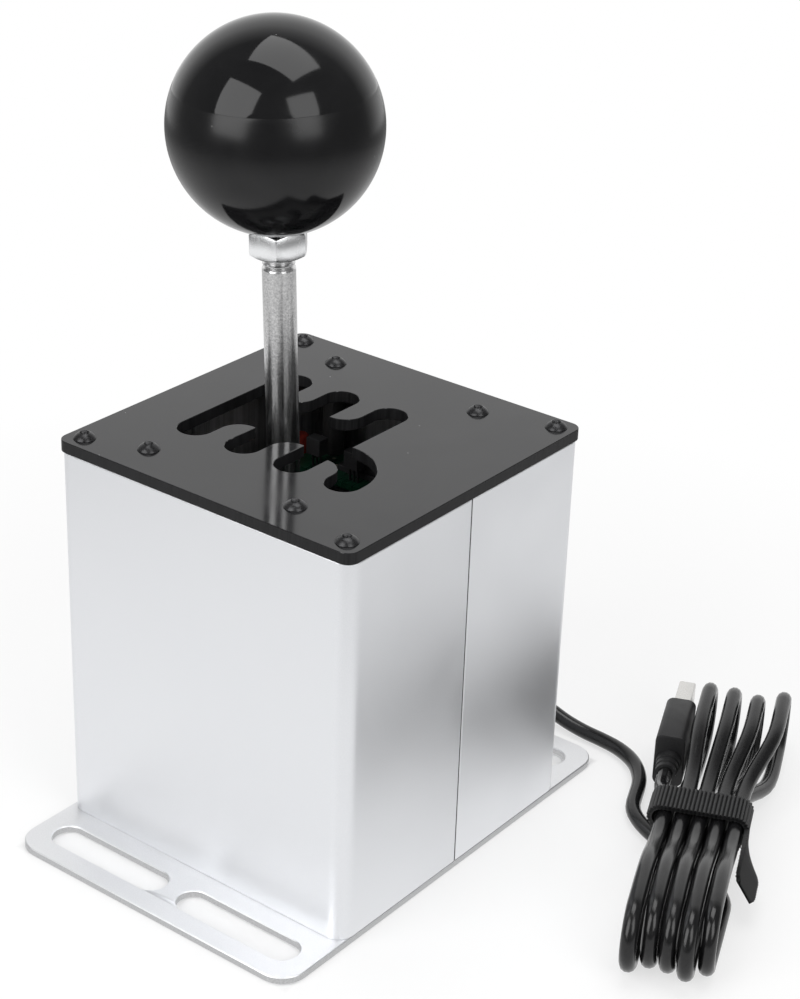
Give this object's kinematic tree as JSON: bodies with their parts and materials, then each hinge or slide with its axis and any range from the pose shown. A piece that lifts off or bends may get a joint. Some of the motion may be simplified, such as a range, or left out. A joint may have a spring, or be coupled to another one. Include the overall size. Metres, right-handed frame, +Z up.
{
  "type": "sim racing H-pattern gear shifter",
  "caption": "Desk gear shifter: ball-knob lever in an H-pattern gate plate on a square metal housing, with a two-axis gimbal inside, a slotted base and a USB lead tied in a hank.",
  "frame": {"origin": "middle of the base plate's underside, on the surface that it stands on", "axes": "+X the driver's right, +Y forward and away from the driver, +Z up"},
  "size_m": [0.1653, 0.1708, 0.2068],
  "materials": {
    "aluminium_satin": "satin anodised",
    "machined_aluminium": "machined",
    "gate_acrylic": "glossy black acrylic",
    "black_screw": "black oxide",
    "zinc_screw": "zinc plated",
    "brass_part": "turned",
    "nylon_black": "moulded",
    "board_green": "solder mask",
    "chip_black": "moulded",
    "capacitor_red": "lacquered",
    "capacitor_orange": "lacquered",
    "header_white": "moulded",
    "pin_steel": "ground",
    "hub_steel": "turned",
    "rod_steel": "ground",
    "spring_steel": "drawn wire",
    "bronze_washer": "sintered",
    "magnet_grey": "sintered",
    "nut_zinc": "bright zinc",
    "knob_black": "polished black",
    "cable_black": "soft vinyl",
    "strap_black": "ribbed strap",
    "plug_black": "fine matt",
    "plug_metal": "nickel plated"
  },
  "bodies": {
    "housing": {"base_plate": "aluminium_satin", "base_screws": "zinc_screw", "near_shell": "aluminium_satin", "far_shell": "aluminium_satin", "gate_plate": "gate_acrylic", "corner_screws": "black_screw", "frame_screws": "black_screw", "board_standoffs": "nylon_black", "sensor_board": "board_green", "board_screws": "zinc_screw", "hall_sensors": "chip_black", "controller_module": "chip_black", "red_capacitors": "capacitor_red", "orange_capacitors": "capacitor_orange", "lead_header": "header_white", "pivot_bracket": "machined_aluminium", "bracket_screws": "zinc_screw", "select_pins": "pin_steel", "ring_washers": "bronze_washer", "left_spring": "spring_steel", "right_spring": "spring_steel", "lead_boot": "cable_black", "inner_lead": "cable_black", "usb_lead": "cable_black", "lead_hank": "cable_black", "hank_tie": "strap_black", "plug_body": "plug_black", "plug_shell": "plug_metal"},
    "yoke": {"gimbal_ring": "machined_aluminium", "shift_pin": "pin_steel", "hub_washers": "bronze_washer"},
    "lever": {"lever_hub": "hub_steel", "hub_grub_screw": "black_screw", "lever_rod": "rod_steel", "magnet_collar": "chip_black", "ring_magnet": "magnet_grey", "jam_nut": "nut_zinc", "knob_insert": "brass_part", "ball_knob": "knob_black"}
  },
  "joints": [
    {"name": "gear_select", "type": "hinge", "parent": "housing", "child": "yoke", "pos_m": [-0.0094, 0, 0.018], "axis": [0, 1, 0], "range_deg": [-10, 10], "stiffness_Nm_per_rad": 1.2, "deforming": ["left_spring", "right_spring"]},
    {"name": "gear_shift", "type": "hinge", "parent": "yoke", "child": "lever", "pos_m": [-0.0094, 0, 0.018], "axis": [1, 0, 0], "range_deg": [-13.9, 8.7]}
  ]
}
